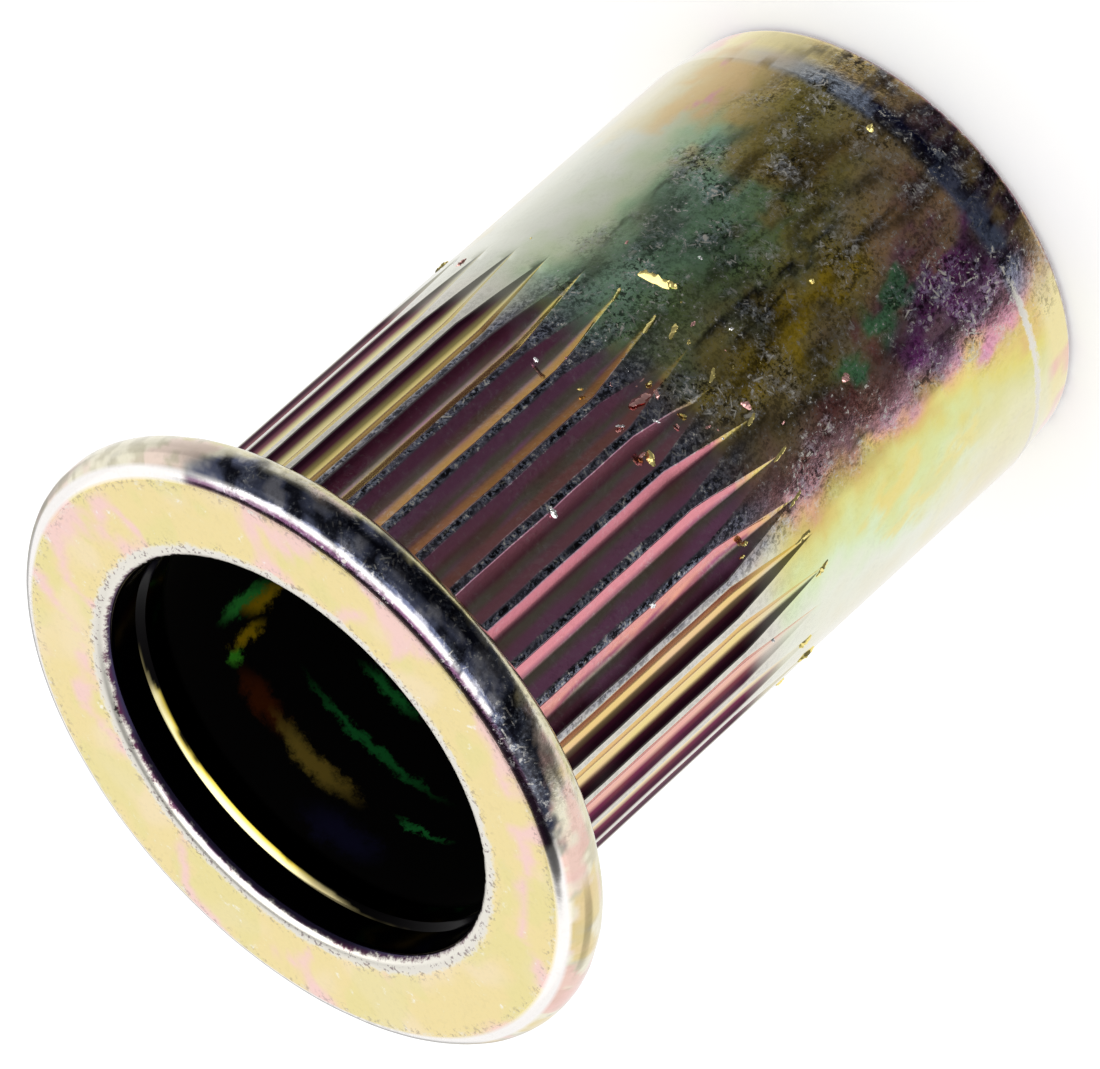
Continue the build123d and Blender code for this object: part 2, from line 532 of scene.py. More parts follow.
@dataclass(frozen=True)
class Corner:
    """One corner of the nut's turned outline.

    Args:
        radius: Distance from the axis, in millimetres.
        height: Height above the plain end, in millimetres.
        round: Radius of the arc that rounds the corner, 0 for none.
        arc_steps: Stretches that the arc is divided into.
        run_steps: Stretches that the straight run to the next corner is divided into.
    """

    radius: float
    height: float
    round: float = 0.0
    arc_steps: int = 0
    run_steps: int = 1


def rounded_outline(corners: list[Corner]) -> np.ndarray:
    """Walks a closed outline, rounding each corner with an arc tangent to both of its runs.

    An arc of radius a at a corner that turns by t starts a * tan(t / 2) before the corner. Its
    centre lies a to the side of that point, and its points are the centre plus a times the
    direction that swings from the first run's normal to the second's.

    Args:
        corners: The corners in order.

    Returns:
        An (n, 2) array of radius and height, in millimetres.
    """
    points = np.array([(corner.radius, corner.height) for corner in corners])
    before = points - np.roll(points, 1, axis=0)
    before /= np.linalg.norm(before, axis=1, keepdims=True)
    after = np.roll(before, -1, axis=0)
    turn = np.arctan2(
        before[:, 0] * after[:, 1] - before[:, 1] * after[:, 0], (before * after).sum(axis=1)
    )
    rounds = np.array([corner.round for corner in corners])
    inset = rounds * np.tan(np.abs(turn) / 2)
    starts = points - before * inset[:, None]
    ends = points + after * inset[:, None]
    outline = []
    for i, corner in enumerate(corners):
        if corner.round > 0:
            side = np.sign(turn[i])
            normal = side * np.array((-before[i, 1], before[i, 0]))
            centre = starts[i] + corner.round * normal
            swing = turn[i] * np.linspace(0, 1, corner.arc_steps + 1)
            cos, sin = np.cos(swing), np.sin(swing)
            out_x = -normal[0] * cos + normal[1] * sin
            out_y = -normal[0] * sin - normal[1] * cos
            outline.append(centre + corner.round * np.stack((out_x, out_y), axis=1))
        else:
            outline.append(points[i : i + 1])
        following = starts[(i + 1) % len(corners)]
        share = np.linspace(0, 1, corner.run_steps + 1)[1:-1, None]
        outline.append(ends[i] + (following - ends[i]) * share)
    return np.concatenate(outline)


@dataclass(frozen=True)
class Ribs:
    """The V grooves rolled into the barrel under the head, and the crests between them.

    Args:
        count: Number of grooves.
        depth: Depth of a groove below the crests, in millimetres.
        half_width: Half the width of a groove's mouth, in millimetres.
        floor_share: How much of the half width the rounding of the floor takes.
        run_out_top: Height at which the floors start to slope up.
        run_out_length: Height over which they come up to the crests.
        length_scatter: Spread of the run-outs' lengths, as a share.
        depth_scatter: Spread of the depths, as a share.
        edge_scatter: Spread of the half widths along a groove, as a share.
        edge_rates: How fast the sines that an edge wavers by go, in radians a millimetre.
        least_mouth: Least half width of the grid over a groove, as a share.
        opening: How far past its point the grid opens again, as a share of a run-out.
        seed: Seed of the spread.
    """

    count: int = 36
    depth: float = 0.175
    half_width: float = 0.435
    floor_share: float = 0.42
    run_out_top: float = 12.05
    run_out_length: float = 2.75
    length_scatter: float = 0.03
    depth_scatter: float = 0.06
    edge_scatter: float = 0.04
    edge_rates: tuple[float, float, float] = (0.9, 1.9, 3.7)
    least_mouth: float = 0.06
    opening: float = 0.28
    seed: int = 11

    @property
    def pitch(self) -> float:
        """Angle from one groove to the next, in radians."""
        return 2 * np.pi / self.count

    def columns(self) -> np.ndarray:
        """Places of the grid's columns over one groove's pitch.

        Returns:
            Places in which -1 to 1 spans the groove's mouth and 2 is the crest's middle, where
            the next groove's columns take over.
        """
        half = np.array((0.25, 0.5, 0.74, 0.9, 1.0, 1.5))
        return np.concatenate((-half[::-1], (0.0,), half, (2.0,)))

    def _leaving(self, height: np.ndarray, groove: np.ndarray) -> np.ndarray:
        """How far along its run-out each groove is: 0 at the start and 1 at its point.

        Args:
            height: Heights in millimetres, of shape (rows, 1).
            groove: Number of each column's groove, of shape (1, columns).

        Returns:
            The shares, of shape (rows, columns).
        """
        draw = np.random.default_rng(self.seed)
        length = self.run_out_length * (1 + self.length_scatter * draw.standard_normal(self.count))
        return np.clip((self.run_out_top - height) / length[groove], 0, None)

    def _closing(self, leaving: np.ndarray) -> np.ndarray:
        """Width left along a run-out as a share: straight, with a soft start and a blunt point."""
        left = np.clip(1 - leaving**1.04, 0, 1)
        return np.sqrt((left**2 + 0.05 * left) / 1.05)

    def _mouth(self, height: np.ndarray, groove: np.ndarray, side: np.ndarray) -> np.ndarray:
        """Half width of the grid over a groove, which follows its edges and opens past its point.

        The edges waver by a sum of three sines whose phases are drawn for each edge.

        Args:
            height: Heights in millimetres, of shape (rows, 1).
            groove: Number of each column's groove, of shape (1, columns).
            side: Place of each column, negative on one side of its groove.

        Returns:
            Half widths in millimetres, of shape (rows, columns).
        """
        leaving = self._leaving(height, groove)
        closing = self._closing(leaving)
        opened = np.clip((leaving - 1) / self.opening, 0, 1) ** 1.2
        draw = np.random.default_rng(self.seed + 1)
        phase = draw.uniform(0, 2 * np.pi, (3, 2, self.count))[:, (side > 0).astype(int), groove]
        waver = sum(np.sin(k * height + p) for k, p in zip(self.edge_rates, phase)) / 3
        least = self.least_mouth + (1 - self.least_mouth) * opened
        return self.half_width * np.maximum(closing * (1 + self.edge_scatter * waver), least)

    def grid(self, height: np.ndarray, radius: float) -> tuple[np.ndarray, np.ndarray, np.ndarray]:
        """Lays the columns along the grooves' edges and sinks them.

        Across a groove the surface is a hyperbola that is scaled to the groove's width w and
        depth d at that height: the sink is d * (1 - (sqrt(q^2 + b^2) - b) / (sqrt(1 + b^2) - b)),
        with q the distance from the groove's middle as a share of w, and b the rounding of its
        floor. The floor slopes up nearly straight along the run-out, so it ends in a point.

        Args:
            height: Heights of the rows, in millimetres, of shape (rows, 1).
            radius: Radius of the crests, in millimetres.

        Returns:
            The angle, the sink below the crests and the signed place across the groove, each of
            shape (rows, columns).
        """
        place = np.tile(self.columns(), self.count)[None, :]
        groove = np.repeat(np.arange(self.count), len(self.columns()))[None, :]
        width = self._mouth(height, groove, place)
        half_pitch = self.pitch * radius / 2
        outer = np.sign(place) * (width + (np.abs(place) - 1) * (half_pitch - width))
        across = np.where(np.abs(place) <= 1, place * width, outer)
        angle = groove * self.pitch + across / radius
        leaving = self._leaving(height, groove)
        true_width = np.maximum(self.half_width * self._closing(leaving), 1e-6)
        true_width = np.where(true_width > self.least_mouth * self.half_width, width, true_width)
        q = np.abs(across) / true_width
        b = self.floor_share
        shape = 1 - (np.sqrt(q**2 + b**2) - b) / (math.sqrt(1 + b**2) - b)
        draw = np.random.default_rng(self.seed + 2)
        depth = self.depth * (1 + self.depth_scatter * draw.standard_normal(self.count))[groove]
        depth = depth * np.clip(1 - leaving**1.15, 0, 1) ** 1.1
        return angle, depth * np.clip(shape, 0, 1), np.clip(across / true_width, -1, 1)


@dataclass(frozen=True)
class Thread:
    """The right-hand internal thread in the nut's far half.

    Args:
        pitch: Height that one turn climbs, in millimetres.
        minor_radius: Radius over the crests, in millimetres.
        depth: Depth of the roots below the crests, in millimetres.
        crest_share: Share of the pitch that the flat crest takes.
        root_share: Share of the pitch that the flat root takes.
        foot_fade: Height over which the depth grows at the plain end.
    """

    pitch: float = 1.5
    minor_radius: float = 4.25
    depth: float = 0.76
    crest_share: float = 0.25
    root_share: float = 0.125
    foot_fade: float = 0.75

    def heights(self, low: float, high: float, angle: np.ndarray) -> np.ndarray:
        """Heights of a helical grid's rows, which climb one pitch in a turn.

        Args:
            low: Height that the grid starts at; rows below it are drawn up to it.
            high: Height that it stops at; rows above it are drawn down to it.
            angle: Angles of the columns from 0 to a whole turn, in radians.

        Returns:
            A (rows, columns) array of heights, in millimetres.
        """
        half_crest, half_root = self.crest_share / 2, self.root_share / 2
        flank = 0.25 + (half_crest - half_root) / 2
        phases = np.array((-half_crest, half_crest, flank, 0.5 - half_root, 0.5 + half_root, 1 - flank))
        turns = np.arange(math.floor(low / self.pitch) - 2, math.ceil(high / self.pitch) + 1)
        rows = (turns[:, None] + phases + 0.5).ravel()[:, None]
        return np.clip((rows + angle / (2 * np.pi)) * self.pitch, low, high)

    def radius(self, angle: np.ndarray, height: np.ndarray) -> np.ndarray:
        """Radius of the thread's surface.

        The phase is height / pitch minus the turn, so one turn climbs one pitch. Over a phase of
        one the surface is a trapezoid: flat at the crest, a straight flank out, flat at the root
        and a straight flank back. The depth grows from nothing over the first half pitch above
        the plain end.

        Args:
            angle: Angle about the axis, in radians.
            height: Height above the plain end, in millimetres.

        Returns:
            The radius in millimetres.
        """
        phase = (height / self.pitch - angle / (2 * np.pi)) % 1.0
        from_crest = 2 * np.abs(phase - 0.5)
        rise = (from_crest - self.crest_share) / (1 - self.crest_share - self.root_share)
        fade = np.clip(height / self.foot_fade, 0, 1)
        return self.minor_radius + self.depth * np.clip(rise, 0, 1) * fade


@dataclass(frozen=True)
class NutSizes:
    """Driving sizes of the nut's turned form, in millimetres.

    Args:
        overall_length: From the plain end to the head's face.
        flange_radius: Radius of the head.
        seat_height: Height of the head's seat.
        face_round: Rounding of the head's edge at its face.
        seat_round: Rounding of the head's edge at its seat.
        crest_radius: Radius over the ribs' crests.
        barrel_radius: Radius of the plain barrel.
        rib_end: Height at which the crests start to come down to the barrel.
        rib_fade_end: Height at which they have come down to it.
        cone_top: Height at which the cone at the plain end starts.
        nose_top: Height at which the cone gives way to the nose.
        nose_radius: Radius of the nose at its top.
        nose_taper: How much narrower the nose is at the plain end.
        nose_round: Rounding of the nose's edge.
        shoulder_top: Height at which the bore starts to narrow to the thread.
        shoulder_foot: Height at which it has narrowed to the thread.
        bore_radius: Radius of the bore above the thread.
        step_radius: Radius at the inner edge of the step in the mouth.
        mouth_radius: Radius of the mouth above that step.
        mouth_floor: Height of that step.
        mouth_chamfer: Height of the chamfer on the step's inner edge.
        mouth_round: Rounding of the mouth's edge at the face.
        lead_in: Size of the chamfer at the foot of the thread.
    """

    overall_length: float = 20.5
    flange_radius: float = 8.0
    seat_height: float = 19.05
    face_round: float = 0.65
    seat_round: float = 0.75
    crest_radius: float = 5.955
    barrel_radius: float = 5.925
    rib_end: float = 9.3
    rib_fade_end: float = 8.7
    cone_top: float = 1.55
    nose_top: float = 0.8
    nose_radius: float = 5.825
    nose_taper: float = 0.09
    nose_round: float = 0.3
    shoulder_top: float = 10.9
    shoulder_foot: float = 10.35
    bore_radius: float = 5.2
    step_radius: float = 5.17
    mouth_radius: float = 5.33
    mouth_floor: float = 19.5
    mouth_chamfer: float = 0.16
    mouth_round: float = 0.3
    lead_in: float = 0.3


@dataclass
class Patch:
    """A stretch of the nut's surface as a grid that spans a whole turn.

    Args:
        points: A (rows, columns, 3) array in millimetres; the last column closes on the first.
        film: The film's linear colour at each point.
        layers: Numbers for the finish, each an array of the grid's shape.
    """

    points: np.ndarray
    film: np.ndarray
    layers: dict[str, np.ndarray]


def even_layers(shape: tuple[int, ...], **levels: float) -> dict[str, np.ndarray]:
    """The finish's numbers as even layers, each 0 unless its level is given."""
    return {name: np.full(shape, levels.get(name, 0.0)) for name in LAYERS}


def turned(radius: np.ndarray, angle: np.ndarray, height: np.ndarray) -> np.ndarray:
    """Points (r cos a, r sin a, z) at each radius, angle in radians and height."""
    return np.stack(np.broadcast_arrays(radius * np.cos(angle), radius * np.sin(angle), height), -1)


@dataclass(frozen=True)
class NutSkin:
    """The nut's whole surface: a plain grid round the outside and bore, and a helical one.

    Args:
        sizes: Sizes of the turned form.
        ribs: The grooves and the ribs between them.
        thread: The thread.
        film: The film on it all.
        dent_count: Number of small dents on the head's edge.
        dent_reach: Least and most distance that a dent reaches, in millimetres.
        dent_depth: Least and most depth of a dent, in millimetres.
        dent_seed: Seed of their places and sizes.
    """

    sizes: NutSizes = field(default_factory=NutSizes)
    ribs: Ribs = field(default_factory=Ribs)
    thread: Thread = field(default_factory=Thread)
    film: ChromateFilm = field(default_factory=ChromateFilm)
    dent_count: int = 70
    dent_reach: tuple[float, float] = (0.12, 0.4)
    dent_depth: tuple[float, float] = (0.004, 0.022)
    dent_seed: int = 5

    def outline(self) -> np.ndarray:
        """The turned outline, from the top of the shoulder up the bore, over the head and down.

        Returns:
            An (n, 2) array of radius and height, in millimetres, open from the top of the
            shoulder to the inner edge of the plain end.
        """
        s = self.sizes
        corners = [
            Corner(s.bore_radius, s.shoulder_top, run_steps=4),
            Corner(s.bore_radius, s.mouth_floor - 1.2, run_steps=2),
            Corner(s.step_radius, s.mouth_floor - s.mouth_chamfer, 0.03, 2, 4),
            Corner(s.mouth_radius, s.mouth_floor, 0.02, 2, 2),
            Corner(s.mouth_radius, s.overall_length, s.mouth_round, 7, 9),
            Corner(s.flange_radius, s.overall_length, s.face_round, 10, 1),
            Corner(s.flange_radius, s.seat_height, s.seat_round, 9, 2),
            Corner(s.crest_radius, s.seat_height, 0.03, 2, 10),
            Corner(s.crest_radius, self.ribs.run_out_top, run_steps=19),
            Corner(s.crest_radius, s.rib_end, run_steps=4),
            Corner(s.barrel_radius, s.rib_fade_end, run_steps=36),
            Corner(s.barrel_radius, s.cone_top, 0.3, 3, 2),
            Corner(s.nose_radius, s.nose_top, 0.3, 3, 2),
            Corner(s.nose_radius - s.nose_taper, 0, s.nose_round, 7, 2),
            Corner(self.thread.minor_radius + s.lead_in, 0),
        ]
        outline = rounded_outline(corners)
        foot = np.flatnonzero(np.isclose(outline, (corners[-1].radius, 0)).all(axis=1))[0]
        return outline[: foot + 1]

    def build(self) -> bpy.types.Object:
        """Makes the skin and stores what its finish needs to know.

        Returns:
            The object, a closed mesh.
        """
        return weld_patches("plated_nut", [self._plain_patch(), self._thread_patch()])

    def _plain_patch(self) -> Patch:
        """The bore above the shoulder, the head, the ribs, the barrel and the plain end.

        A point is (r cos a, r sin a, z), where r is the outline's radius less the sink of the
        grooves. A slow wave of about a hundredth of a millimetre keeps the head and the barrel
        from being perfectly round.

        Returns:
            The patch, open at the top of the shoulder and at the plain end's inner edge.
        """
        s = self.sizes
        outline = self.outline()
        base, height = outline[:, :1], outline[:, 1:]
        ring = self._ring()
        face = np.flatnonzero(np.isclose(height[:, 0], s.overall_length))[0]
        inside = np.arange(len(outline))[:, None] < face
        ribbed = (height > s.rib_fade_end - 1) & (height < s.seat_height + 0.01)
        ribbed = ribbed & (base < s.crest_radius + 0.001) & ~inside
        grid = self.ribs.grid(height, s.crest_radius)
        grid_angle, sink, side = (np.concatenate((v, v[:, :1]), axis=1) for v in grid)
        grid_angle[:, -1] += 2 * np.pi
        sink, side = np.where(ribbed, sink, 0.0), np.where(ribbed, side, 0.0)
        angle = np.where(ribbed, grid_angle, ring)
        radius = base - sink + np.where(inside, 0.0, self._unevenness(angle, base, height))
        points = turned(radius, angle, height)
        valley = sink / self.ribs.depth
        place = np.append(np.tile(self.ribs.columns(), self.ribs.count), self.ribs.columns()[0])
        crest = ribbed & (sink < 0.001) & (height > s.rib_end) & (np.abs(place) > 1)
        leaving = np.clip((self.ribs.run_out_top - height) / self.ribs.run_out_length, 0, 1)
        leaving = np.broadcast_to(leaving, angle.shape)
        film = self.film.outside(points, valley, side, leaving)
        film = np.where(inside[..., None], self.film.inside(points), film)
        layers = {
            "valley": valley * ease(leaving, 0.85, 0.25),
            # The crest layer is weighted to the front, where its grey and dark specks are painted shade.
            "crest": np.where(crest, 1 - leaving, 0.0) * self.film.fogged(points),
            "wear": self._wear(base, height) * self._wear_round(angle, height),
            "tumbled": self.film.tumbled(points, inside),
            "bore": (inside & (height < s.mouth_floor - 0.2)).astype(float),
        }
        layers = {name: np.broadcast_to(layer, angle.shape) for name, layer in layers.items()}
        return Patch(points, film, layers)

    def _thread_patch(self) -> Patch:
        """The thread and the shoulder above it, on a grid that climbs with the thread.

        Returns:
            The patch, whose edges meet the plain one's.
        """
        s = self.sizes
        angle, minor = self._ring(), self.thread.minor_radius
        height = self.thread.heights(0.0, s.shoulder_top, angle)
        levels = (0, s.lead_in, s.shoulder_foot, s.shoulder_top)
        cone = np.interp(height, levels, (minor + s.lead_in, minor, minor, s.bore_radius))
        points = turned(np.maximum(cone, self.thread.radius(angle, height)), angle, height)
        return Patch(points, self.film.inside(points), even_layers(height.shape, bore=1.0))

    def _ring(self) -> np.ndarray:
        """Angles of the plain rows' columns, spaced as the grooves space them in the middle.

        Returns:
            Angles in radians over a whole turn, of shape (1, columns + 1).
        """
        share = self.ribs.half_width / (self.ribs.pitch * self.sizes.crest_radius)
        place = self.ribs.columns()
        outer = np.sign(place) * (share + (np.abs(place) - 1) * (0.5 - share))
        offset = np.where(np.abs(place) <= 1, place * share, outer)
        angle = ((np.arange(self.ribs.count)[:, None] + offset) * self.ribs.pitch).ravel()
        return np.append(angle, angle[0] + 2 * np.pi)[None, :]

    def _unevenness(self, angle: np.ndarray, base: np.ndarray, height: np.ndarray) -> np.ndarray:
        """A slow wave round the outside, with small dents on the head's edge.

        Both only ever take the surface inwards, so the nut keeps inside its true size. The wave
        is a sum of three sines, and a dent is a bell curve of the distance from its middle.

        Args:
            angle: Angle of each place, in radians.
            base: Radius of each row, in millimetres.
            height: Height of each row, in millimetres.

        Returns:
            What is added to the radius, in millimetres: 0 or less.
        """
        s = self.sizes
        wave = np.sin(2 * angle + 0.7) + 0.6 * np.sin(5 * angle + 2.1) + 0.4 * np.sin(9 * angle)
        edge = np.clip((base - s.flange_radius + s.face_round) / s.face_round, 0, 1)
        dents = np.zeros_like(angle)
        draw = np.random.default_rng(self.dent_seed)
        for _ in range(self.dent_count):
            at, level = draw.uniform(0, 2 * np.pi), draw.uniform(s.seat_height, s.overall_length)
            reach, depth = draw.uniform(*self.dent_reach), draw.uniform(*self.dent_depth)
            turn = (angle - at + np.pi) % (2 * np.pi) - np.pi
            away = (turn * s.flange_radius / (1.6 * reach)) ** 2 + ((height - level) / reach) ** 2
            dents = dents + depth * np.exp(-away)
        slow = (0.004 + 0.008 * edge) * (2.0 - wave) / 2
        beyond_hole = base > self.thread.minor_radius + s.lead_in + 0.01
        return -(slow + edge * dents) * beyond_hole

    def _wear(self, base: np.ndarray, height: np.ndarray) -> np.ndarray:
        """How far handling has rubbed each row: most on the outward corners.

        Args:
            base: Radius of each row, in millimetres.
            height: Height of each row, in millimetres.

        Returns:
            A share from 0 to 1 for each row.
        """
        s = self.sizes
        face, seat, nose = 0.3 * s.face_round, 0.3 * s.seat_round, 0.3 * s.nose_round
        # Each spot is a radius, a height, how far its wear reaches and how strong it is there.
        spots = (
            (s.flange_radius - 0.92 * s.face_round, s.overall_length, 0.09, 1.0),
            (s.flange_radius - face, s.overall_length - face, 0.16, 0.35),
            (s.mouth_radius + 0.85 * s.mouth_round, s.overall_length, 0.42, 0.98),
            (s.nose_radius - nose, nose, 0.22, 0.75),
            (s.barrel_radius, s.cone_top, 0.16, 0.9),
            (s.flange_radius - seat, s.seat_height + seat, 0.25, 0.5),
        )
        away = [np.hypot(base - r, height - z) / reach for r, z, reach, _ in spots]
        return np.maximum.reduce([top * np.clip(1 - a, 0, 1) for a, (*_, top) in zip(away, spots)])

    def _wear_round(self, angle: np.ndarray, height: np.ndarray) -> np.ndarray:
        """How the plain end's wear changes round it: it is rubbed bare on one side only."""
        turn = np.abs(turn_from(270 - np.degrees(angle), 62))
        return np.where(height < 5, 0.25 + 0.75 * ease(turn, 46, 28), 1.0)


class Bared(Enum):
    """What a burr's torn surface shows."""

    GILT = "#FFEC98"
    ROSE = "#FFC4BE"
    BRIGHT = "#FFFFFF"


@dataclass(frozen=True)
class Burr:
    """A sliver of torn metal that lies on the barrel and leans out of it.

    Args:
        bearing: Bearing of its middle.
        height: Height above the plain end, in millimetres.
        length: Length in millimetres.
        width: Width in millimetres.
        tilt: Tilt of its length from level, in degrees.
        bared: What it shows.
        lean: How far it is turned about its length, in degrees.
        sunk: Depth of its middle below the crests of the ribs, in millimetres.
        thickness: Thickness in millimetres.
    """

    bearing: float
    height: float
    length: float
    width: float
    tilt: float
    bared: Bared
    lean: float = 24.0
    sunk: float = 0.0
    thickness: float = 0.07

    def patch(self, radius: float, seed: int) -> Patch:
        """The sliver as a closed grid.

        With u from -1 to 1 along it and v the turn round it, a point is at u along its length,
        w(u) cos v across and t(u) sin v out, where w and t fall as sqrt(1 - u^2) to points at
        both ends. Clouds of random waves roughen its edge.

        Args:
            radius: Radius of the barrel in millimetres.
            seed: Seed of the roughness.

        Returns:
            The patch, closed at both ends.
        """
        u = np.linspace(-1, 1, 17)[:, None]
        v = -np.linspace(0, 2 * np.pi, 13)[None, :]
        v = np.where(np.isclose(v, -2 * np.pi), 0, v)
        taper = np.sqrt(np.clip(1 - u**2, 0, 1))
        place = np.stack(np.broadcast_arrays(3 * u, np.cos(v), np.sin(v)), axis=-1)
        rough = 1 + 0.28 * clouds(place, 0.7, seed)
        wide = self.width / 2 * taper * rough * np.cos(v)
        thick = self.thickness / 2 * taper * rough * np.sin(v)
        lean, tilt = math.radians(self.lean), math.radians(self.tilt)
        across = wide * math.cos(lean) - thick * math.sin(lean)
        out = wide * math.sin(lean) + thick * math.cos(lean)
        along = np.broadcast_to(u * self.length / 2, across.shape)
        round_it = along * math.cos(tilt) - across * math.sin(tilt)
        angle = math.radians(270 - self.bearing) - round_it / radius
        height = self.height + along * math.sin(tilt) + across * math.cos(tilt)
        points = turned(radius - self.sunk + out, angle, height)
        film = np.broadcast_to(np.array(linear(self.bared.value)[:3]), points.shape)
        return Patch(points, film, even_layers(across.shape, valley=0.04))


@dataclass(frozen=True)
class Burrs:
    """The burrs left where the grooves run out, and a few nicks elsewhere on the barrel.

    Args:
        radius: Radius that they lie at, in millimetres.
        fleck_count: Number of small flecks scattered over the run-outs.
        grooves: Number of grooves, some of which end in a gilt burr.
        tip_share: Share of the grooves that do.
        seed: Seed of the scatter.
        burrs: The larger burrs.
    """

    radius: float = 5.93
    fleck_count: int = 70
    grooves: int = 36
    tip_share: float = 0.6
    seed: int = 77
    burrs: tuple[Burr, ...] = (
        Burr(-26.5, 8.62, 0.80, 0.34, -10, Bared.GILT, -52),
        Burr(-23.4, 8.50, 0.42, 0.24, -24, Bared.GILT, -58),
        Burr(-15.4, 9.40, 0.50, 0.26, 70, Bared.GILT, -42, 0.02),
        Burr(-12.6, 10.8, 0.80, 0.24, 82, Bared.ROSE, -42, 0.10),
        Burr(-8.9, 11.2, 0.70, 0.24, -80, Bared.ROSE, 30, 0.06),
        Burr(-7.4, 10.9, 0.30, 0.20, 40, Bared.ROSE, -47, 0.02),
        Burr(-2.6, 9.50, 0.42, 0.18, 60, Bared.GILT, -46),
        Burr(2.5, 12.1, 0.55, 0.17, 30, Bared.GILT, -46, 0.06),
        Burr(4.4, 11.2, 0.60, 0.12, 62, Bared.GILT, -37, 0.04),
        Burr(7.2, 9.35, 0.30, 0.22, -20, Bared.ROSE, -47),
        Burr(-3.6, 14.9, 0.34, 0.15, 10, Bared.BRIGHT, -47, 0.0),
        Burr(26.2, 14.2, 0.26, 0.15, -50, Bared.BRIGHT, -42, 0.02),
        Burr(17.0, 6.75, 0.24, 0.22, 60, Bared.ROSE, -47),
        Burr(-19.5, 1.86, 0.20, 0.20, 0, Bared.GILT, -47),
        Burr(-3.2, 5.9, 0.14, 0.12, 0, Bared.GILT, -47),
        Burr(150, 8.2, 0.50, 0.26, 15, Bared.GILT, -50),
        Burr(-120, 4.2, 0.30, 0.16, -60, Bared.BRIGHT, -50),
        Burr(105, 9.6, 0.42, 0.18, 76, Bared.GILT, -28),
        Burr(-75, 9.7, 0.36, 0.17, 100, Bared.ROSE, -28),
    )

    def _flecks(self) -> list[Burr]:
        """Small flecks scattered over the run-outs, where the rolling tore the metal.

        Returns:
            The flecks, then a gilt burr at the end of some of the grooves.
        """
        draw = np.random.default_rng(self.seed)
        flecks = []
        for _ in range(self.fleck_count):
            in_front, anywhere = draw.normal(-4, 15), draw.uniform(-180, 180)
            bearing = draw.choice((in_front, anywhere), p=(0.6, 0.4))
            height = draw.normal(10.4, 1.3)
            length = draw.uniform(0.07, 0.24)
            width = length * draw.uniform(0.35, 0.6)
            bared = draw.choice(list(Bared))
            tilt, lean, sunk = draw.uniform(0, 180), draw.uniform(-58, -30), draw.uniform(0.0, 0.05)
            flecks.append(Burr(bearing, height, length, width, tilt, bared, lean, sunk))
        for groove in range(-self.grooves // 2, self.grooves // 2):
            if draw.uniform() < self.tip_share:
                bearing = 360 / self.grooves * groove + draw.normal(0, 0.7)
                height = 9.42 + draw.normal(0, 0.12)
                length, width = draw.uniform(0.3, 0.65), draw.uniform(0.12, 0.2)
                tilt, lean = draw.uniform(66, 84), draw.uniform(-56, -44)
                flecks.append(Burr(bearing, height, length, width, tilt, Bared.GILT, lean))
        return flecks

    def build(self) -> bpy.types.Object:
        """Makes all the burrs as one object.

        Returns:
            The object, of closed slivers.
        """
        burrs = (*self.burrs, *self._flecks())
        patches = [burr.patch(self.radius, seed) for seed, burr in enumerate(burrs)]
        return weld_patches("plating_burrs", patches)


def weld_patches(name: str, patches: list[Patch]) -> bpy.types.Object:
    """Joins patches whose edges meet into one closed object that faces outwards.

    Points that share a place, to within a hundredth of a micrometre, become one vertex. Grid
    cells that this draws to a line are dropped, and those with three corners left are triangles.

    Args:
        name: The object's name.
        patches: The patches, whose rows all run the same way round the outline.

    Returns:
        The object, linked to the scene, shaded smooth but for its true corners.
    """
    corners, start = [], 0
    for patch in patches:
        rows, columns = patch.points.shape[:2]
        index = start + np.arange(rows * columns).reshape(rows, columns)
        cells = (index[:-1, :-1], index[1:, :-1], index[1:, 1:], index[:-1, 1:])
        corners.append(np.stack(cells, axis=-1).reshape(-1, 4))
        start += rows * columns
    points = np.concatenate([patch.points.reshape(-1, 3) for patch in patches])
    keys = np.round(points * WELD_STEPS).astype(np.int64)
    _, first, joined = np.unique(keys, axis=0, return_index=True, return_inverse=True)
    cells = joined.reshape(-1)[np.concatenate(corners)]
    fresh = cells != np.roll(cells, 1, axis=1)
    whole = fresh.sum(axis=1)
    faces = cells[whole == 4].tolist()
    faces += [cell[keep].tolist() for cell, keep in zip(cells[whole == 3], fresh[whole == 3])]
    mesh = bpy.data.meshes.new(name)
    mesh.from_pydata(points[first] * MM, [], faces)
    mesh.shade_smooth()
    mesh.set_sharp_from_angle(angle=math.radians(SHARP_ANGLE))
    piece = bpy.data.objects.new(name, mesh)
    bpy.context.scene.collection.objects.link(piece)
    film = np.concatenate([patch.film.reshape(-1, 3) for patch in patches])[first]
    film = np.concatenate((film, np.ones((len(film), 1))), axis=1).astype(np.float32)
    mesh.attributes.new("film", "FLOAT_COLOR", "POINT").data.foreach_set("color", film.ravel())
    for layer in patches[0].layers:
        values = np.concatenate([patch.layers[layer].ravel() for patch in patches])[first]
        stored = mesh.attributes.new(layer, "FLOAT", "POINT")
        stored.data.foreach_set("value", np.ascontiguousarray(values, dtype=np.float32))
    return piece


# ---------------------------------------------------------------------------------------------
# Finishes
# ---------------------------------------------------------------------------------------------


